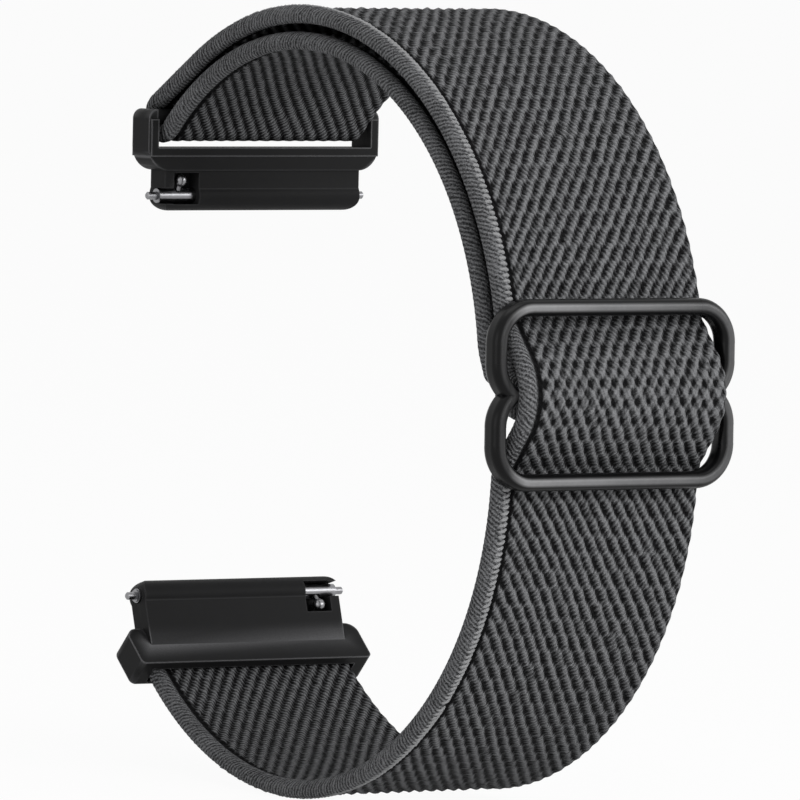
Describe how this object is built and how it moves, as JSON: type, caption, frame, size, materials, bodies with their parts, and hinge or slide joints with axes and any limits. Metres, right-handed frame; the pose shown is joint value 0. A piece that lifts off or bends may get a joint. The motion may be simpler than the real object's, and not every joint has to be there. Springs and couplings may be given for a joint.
{
  "type": "nylon loop watch band",
  "caption": "Elastic nylon loop watch band with a slide buckle, a folded upper end, a socketed lower end and quick-release spring bars.",
  "frame": {"origin": "middle of the watch head, halfway between the axes of the two spring bars", "axes": "+X along the spring bars, +Y from the wrist towards the watch's face, +Z towards the folded end above the watch"},
  "size_m": [0.026, 0.0616, 0.0704],
  "materials": {
    "webbing": "dark grey elastic weave with rolled selvedges",
    "thread": "polyester sewing thread",
    "black_enamel": "gloss black enamel on a die casting",
    "adapter_plastic": "satin black",
    "steel": "bright turned stainless steel"
  },
  "bodies": {
    "strap": {"web_outer_run": "webbing", "web_fold": "webbing", "web_inner_run": "webbing", "web_inner_take_up": "webbing", "web_upper_take_up": "webbing", "web_lower_take_up": "webbing", "web_lower_run": "webbing", "web_lower_bend": "webbing"},
    "buckle": {"buckle_frame": "black_enamel", "web_bridge": "webbing", "web_end_loop": "webbing", "end_loop_stitches": "thread"},
    "upper_end": {"upper_adapter": "adapter_plastic", "upper_bar_tube": "steel", "upper_fixed_tip": "steel", "upper_bar_spring": "steel"},
    "upper_release": {"upper_plunger": "steel", "upper_release_knob": "steel"},
    "lower_end": {"lower_adapter": "adapter_plastic", "web_lower_end": "webbing", "lower_bar_tube": "steel", "lower_fixed_tip": "steel", "lower_bar_spring": "steel"},
    "lower_release": {"lower_plunger": "steel", "lower_release_knob": "steel"}
  },
  "joints": [
    {"name": "buckle_slide", "type": "hinge", "parent": "strap", "child": "buckle", "pos_m": [0, -0.02294, 0.0044], "axis": [-1, 0, 0], "range_deg": [-6, 15], "deforming": ["web_inner_take_up", "web_upper_take_up", "web_lower_take_up"]},
    {"name": "upper_tilt", "type": "hinge", "parent": "strap", "child": "upper_end", "pos_m": [0, 0.00037, 0.02534], "axis": [1, 0, 0], "range_deg": [-30, 30]},
    {"name": "upper_release_slide", "type": "slide", "parent": "upper_end", "child": "upper_release", "axis": [1, 0, 0], "range_m": [0, 0.0009], "stiffness_N_per_m": 2500, "springref_m": -0.0005, "deforming": ["upper_bar_spring"]},
    {"name": "lower_flex", "type": "hinge", "parent": "strap", "child": "lower_end", "pos_m": [0, -0.00564, -0.02689], "axis": [1, 0, 0], "range_deg": [-15, 30], "stiffness_Nm_per_rad": 0.03, "deforming": ["web_lower_bend"]},
    {"name": "lower_release_slide", "type": "slide", "parent": "lower_end", "child": "lower_release", "axis": [-1, 0, 0], "range_m": [0, 0.0009], "stiffness_N_per_m": 2500, "springref_m": -0.0005, "deforming": ["lower_bar_spring"]}
  ]
}
